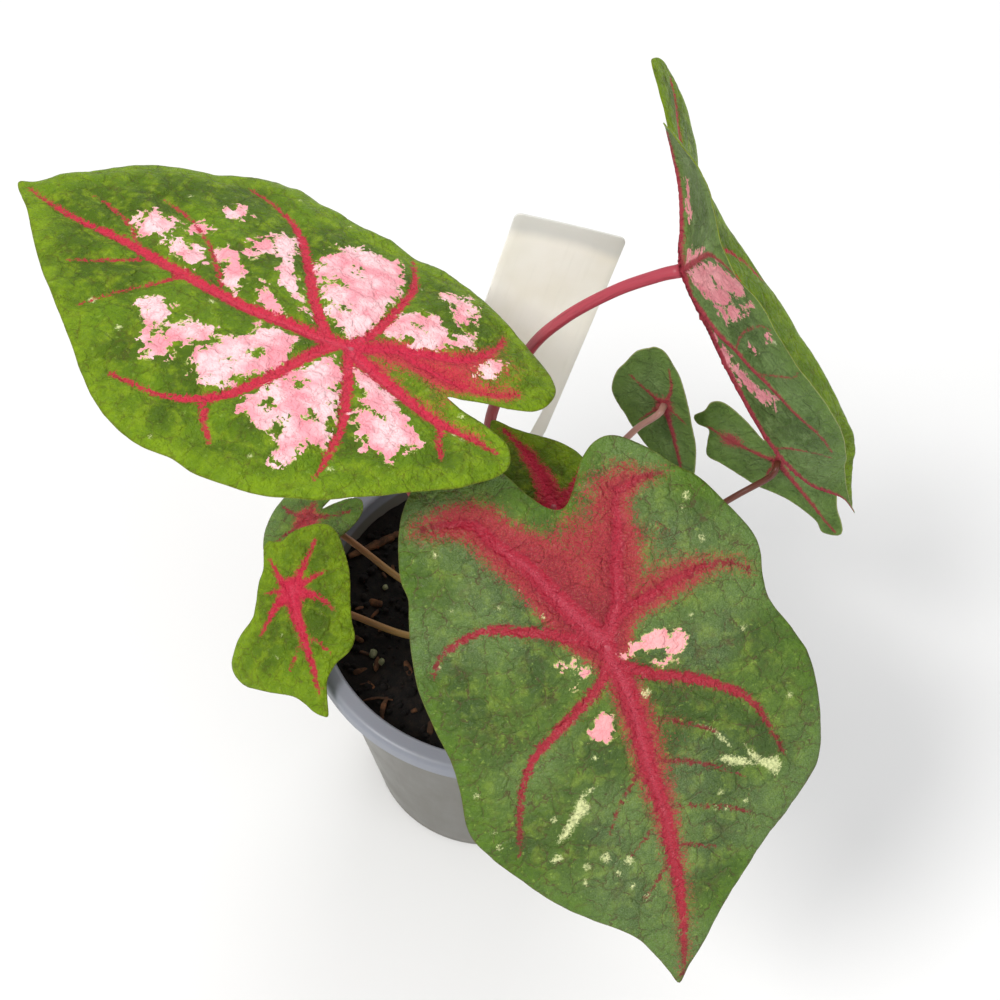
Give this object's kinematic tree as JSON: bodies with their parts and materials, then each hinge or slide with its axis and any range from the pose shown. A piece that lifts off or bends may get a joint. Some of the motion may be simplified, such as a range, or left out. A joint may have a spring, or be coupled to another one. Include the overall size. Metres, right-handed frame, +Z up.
{
  "type": "potted caladium",
  "caption": "Caladium with heart-shaped pink and green leaves on slender stalks, growing from a tuber in a round tapered nursery pot with a blank plant tag.",
  "frame": {"origin": "centre of the pot's base, on the surface that it stands on", "axes": "+Z up out of the pot; -Y towards the front, where the largest hanging leaf is; +X to the right seen from the front"},
  "size_m": [0.214, 0.1629, 0.2286],
  "materials": {
    "pot_plastic": "warm grey moulded polypropylene with a soft sheen",
    "potting_mix": "near-black peat and bark crumbs with a little perlite",
    "tuber_skin": "rough brown corm skin",
    "label_plastic": "thin cream plastic, blank",
    "leaf_blade": "soft satin green leaf with red veins and pale pink patches, grey-green beneath",
    "petiole_red": "smooth red-brown stalk with a satin sheen",
    "petiole_tan": "smooth tan stalk with a satin sheen"
  },
  "bodies": {
    "root": {"pot": "pot_plastic", "soil": "potting_mix", "tuber": "tuber_skin", "plant_label": "label_plastic", "leaf_left_blade": "leaf_blade", "leaf_left_petiole": "petiole_red", "leaf_front_blade": "leaf_blade", "leaf_front_petiole": "petiole_red", "leaf_right_blade": "leaf_blade", "leaf_right_petiole": "petiole_red", "leaf_middle_blade": "leaf_blade", "leaf_middle_petiole": "petiole_red", "leaf_rim_blade": "leaf_blade", "leaf_rim_petiole": "petiole_tan", "leaf_rim_back_blade": "leaf_blade", "leaf_rim_back_petiole": "petiole_tan", "leaf_back_blade": "leaf_blade", "leaf_back_petiole": "petiole_red", "leaf_back_right_blade": "leaf_blade", "leaf_back_right_petiole": "petiole_red"}
  },
  "joints": []
}
